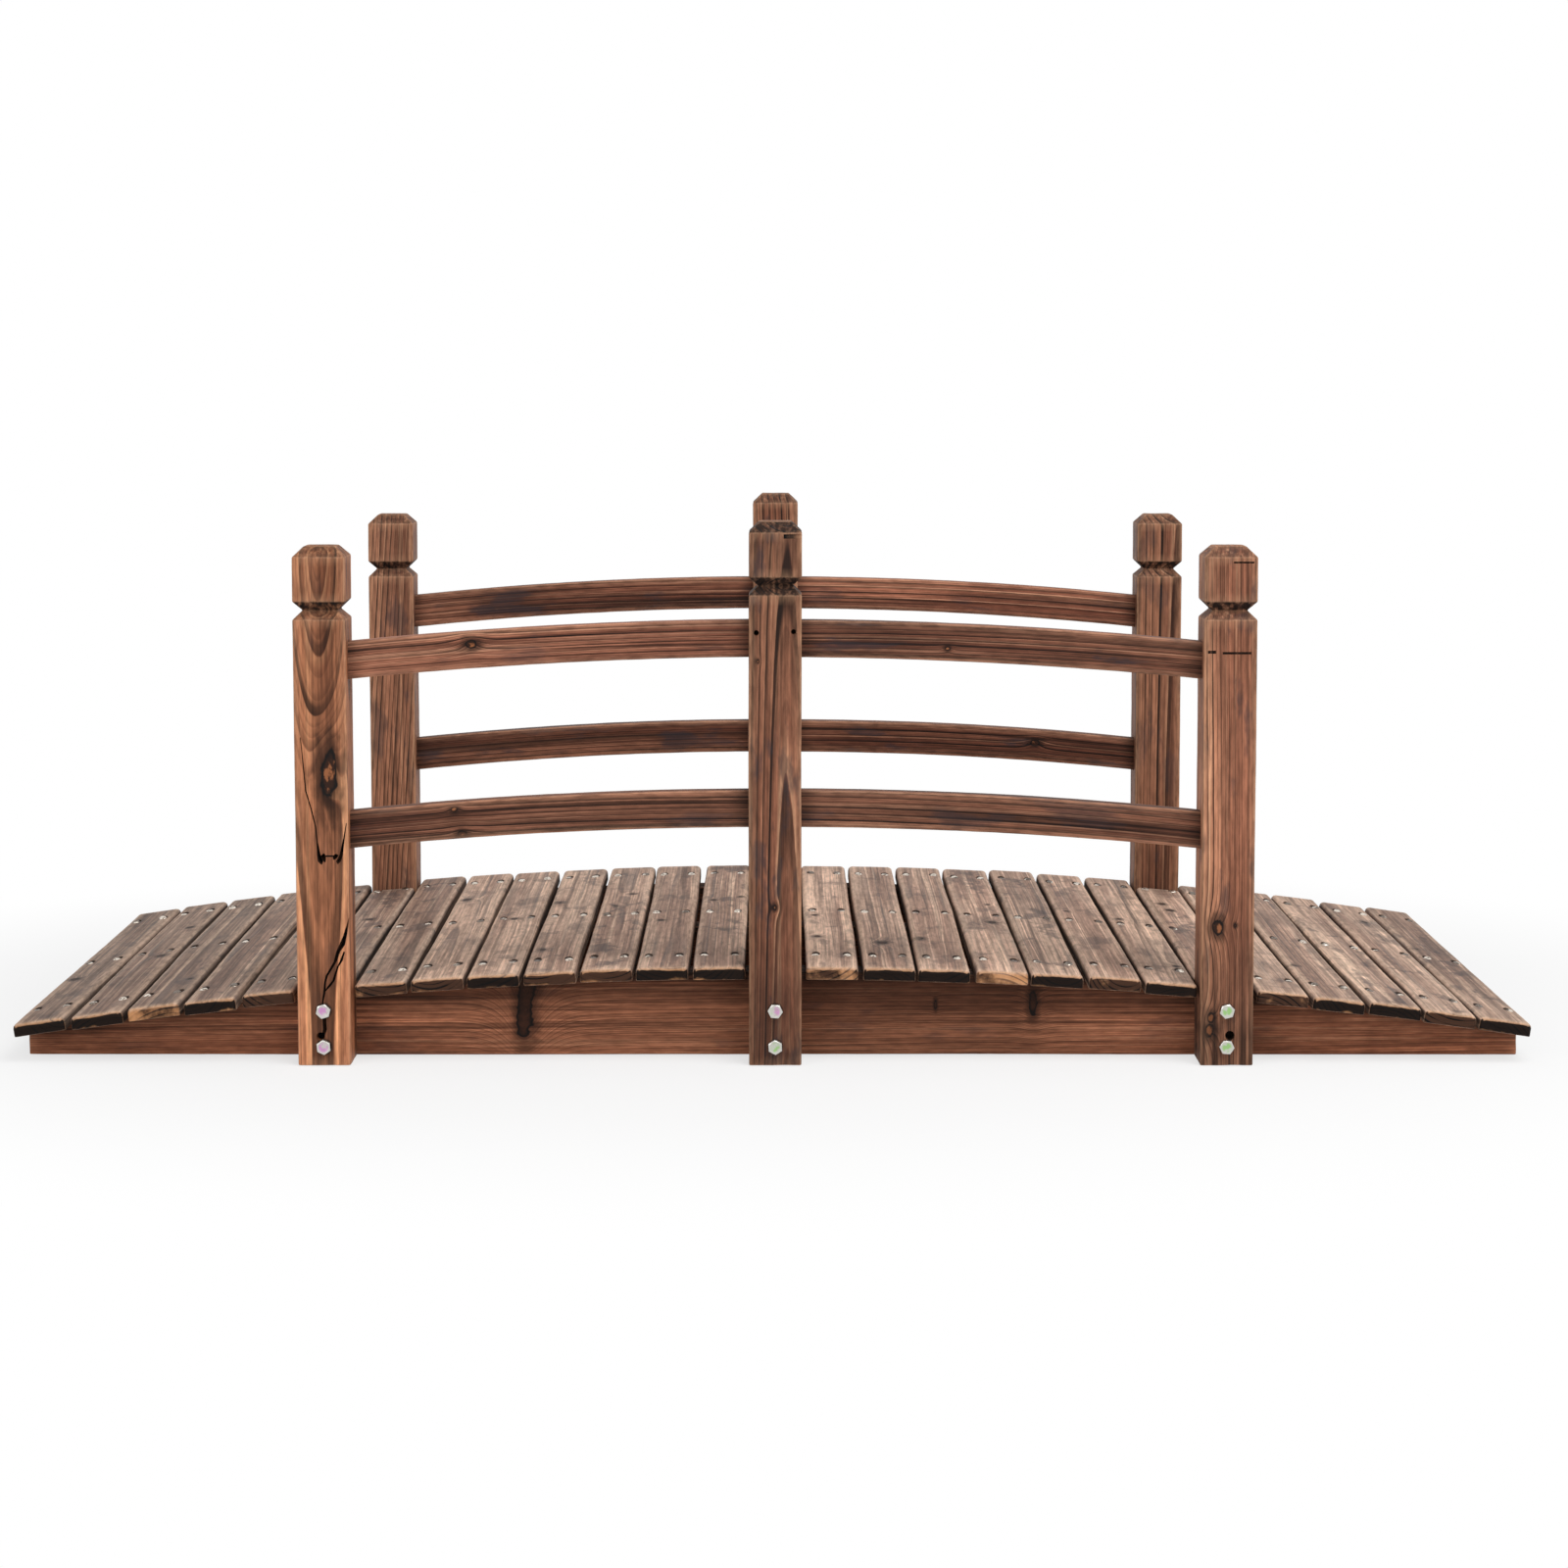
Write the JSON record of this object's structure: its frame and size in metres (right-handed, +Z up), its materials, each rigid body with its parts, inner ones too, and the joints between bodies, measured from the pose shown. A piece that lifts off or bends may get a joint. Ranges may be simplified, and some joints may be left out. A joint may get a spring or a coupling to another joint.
{
  "type": "garden bridge",
  "caption": "Low arched timber footbridge: cross-board deck on arched stringers, chamfered square posts and arched double rails on both sides.",
  "frame": {"origin": "on the ground, under the middle of the deck", "axes": "+X along the bridge to the right, +Y across it to the back, +Z up"},
  "size_m": [1.502, 0.673, 0.5385],
  "materials": {
    "deck_wood": "scorched and brushed fir, grey-brown with blue-black burn marks",
    "stringer_wood": "scorched fir, red-brown, matt",
    "post_wood": "scorched and brushed fir, warm brown with dark grain, matt",
    "rail_wood": "scorched and brushed fir, dark brown, matt",
    "fasteners": "zinc-plated steel with a passivated tint"
  },
  "bodies": {
    "root": {"deck_board_01": "deck_wood", "deck_board_02": "deck_wood", "deck_board_03": "deck_wood", "deck_board_04": "deck_wood", "deck_board_05": "deck_wood", "deck_board_06": "deck_wood", "deck_board_07": "deck_wood", "deck_board_08": "deck_wood", "deck_board_09": "deck_wood", "deck_board_10": "deck_wood", "deck_board_11": "deck_wood", "deck_board_12": "deck_wood", "deck_board_13": "deck_wood", "deck_board_14": "deck_wood", "deck_board_15": "deck_wood", "deck_board_16": "deck_wood", "deck_board_17": "deck_wood", "deck_board_18": "deck_wood", "deck_board_19": "deck_wood", "deck_board_20": "deck_wood", "deck_board_21": "deck_wood", "deck_board_22": "deck_wood", "deck_board_23": "deck_wood", "deck_board_24": "deck_wood", "deck_board_25": "deck_wood", "deck_board_26": "deck_wood", "deck_board_27": "deck_wood", "stringer_front": "stringer_wood", "stringer_middle": "stringer_wood", "stringer_back": "stringer_wood", "post_front_left": "post_wood", "post_front_middle": "post_wood", "post_front_right": "post_wood", "post_back_left": "post_wood", "post_back_middle": "post_wood", "post_back_right": "post_wood", "rail_upper_front_left": "rail_wood", "rail_upper_front_right": "rail_wood", "rail_upper_back_left": "rail_wood", "rail_upper_back_right": "rail_wood", "rail_lower_front_left": "rail_wood", "rail_lower_front_right": "rail_wood", "rail_lower_back_left": "rail_wood", "rail_lower_back_right": "rail_wood"}
  },
  "joints": []
}
